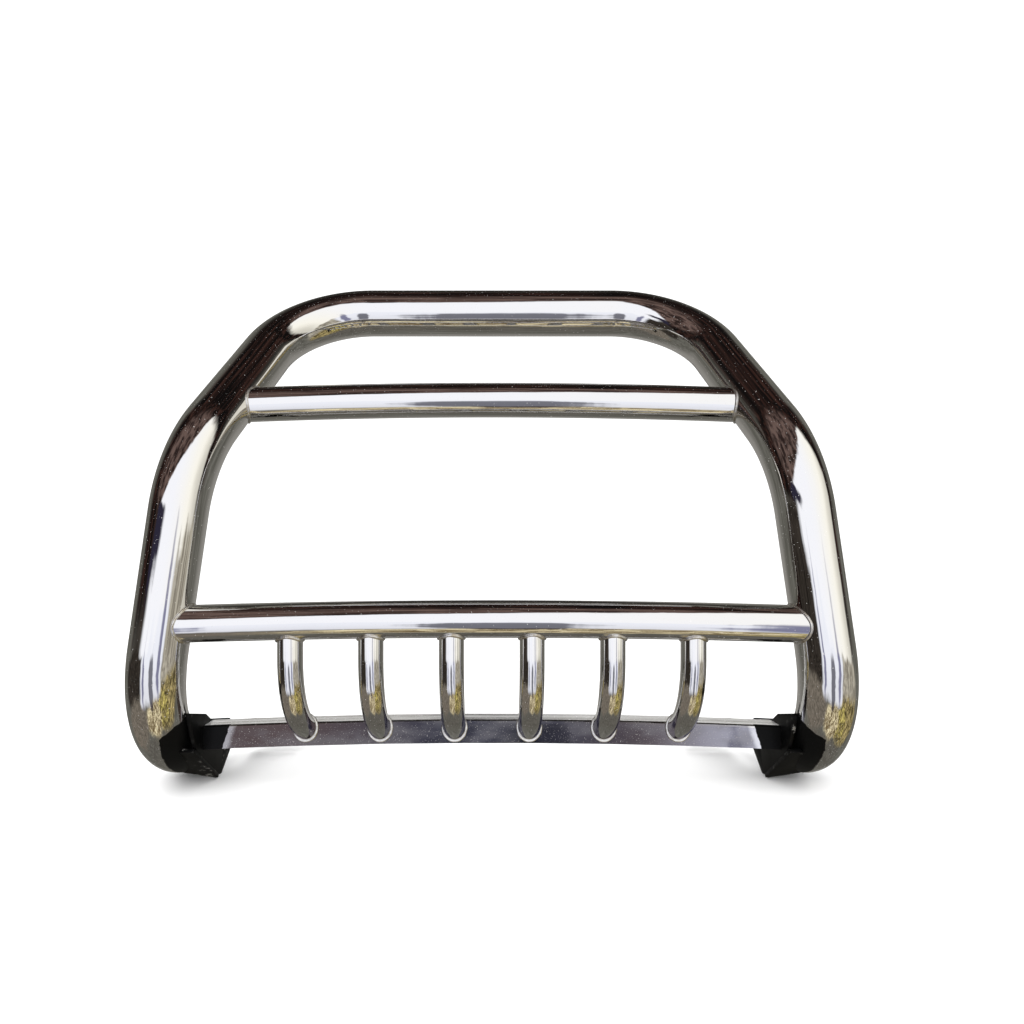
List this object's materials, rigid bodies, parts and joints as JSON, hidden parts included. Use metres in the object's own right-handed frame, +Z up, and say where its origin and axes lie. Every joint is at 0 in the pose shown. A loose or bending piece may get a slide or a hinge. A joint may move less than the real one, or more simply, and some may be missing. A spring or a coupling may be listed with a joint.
{
  "type": "front grille guard",
  "caption": "Polished tube guard for a truck front: hoop, cross tubes, short tubes down to a folded skid strip, and painted brackets with slotted feet.",
  "frame": {"origin": "midway between the two chassis feet, on their rear faces, at the height of their slots", "axes": "+X to the guard's right as seen from the front, +Y back towards the truck, +Z up"},
  "size_m": [1.0322, 0.3388, 0.7981],
  "materials": {
    "polished_steel": "mirror polished stainless steel with fine scratches",
    "black_paint": "satin black paint with small chips",
    "zinc_hardware": "zinc plated"
  },
  "bodies": {
    "root": {"main_hoop": "polished_steel", "upper_crossbar": "polished_steel", "lower_crossbar": "polished_steel", "tooth_1": "polished_steel", "tooth_2": "polished_steel", "tooth_3": "polished_steel", "tooth_4": "polished_steel", "tooth_5": "polished_steel", "tooth_6": "polished_steel", "skid_strip": "polished_steel", "side_plate_left": "black_paint", "side_plate_right": "black_paint", "gusset_left": "black_paint", "gusset_right": "black_paint", "chassis_arm_left": "black_paint", "chassis_arm_right": "black_paint", "end_cap_left": "black_paint", "end_cap_right": "black_paint", "bolt_left_1": "zinc_hardware", "bolt_left_2": "zinc_hardware", "bolt_right_1": "zinc_hardware", "bolt_right_2": "zinc_hardware", "head_washer_left_1": "zinc_hardware", "head_washer_left_2": "zinc_hardware", "head_washer_right_1": "zinc_hardware", "head_washer_right_2": "zinc_hardware", "nut_washer_left_1": "zinc_hardware", "nut_washer_left_2": "zinc_hardware", "nut_washer_right_1": "zinc_hardware", "nut_washer_right_2": "zinc_hardware", "nut_left_1": "zinc_hardware", "nut_left_2": "zinc_hardware", "nut_right_1": "zinc_hardware", "nut_right_2": "zinc_hardware"}
  },
  "joints": []
}
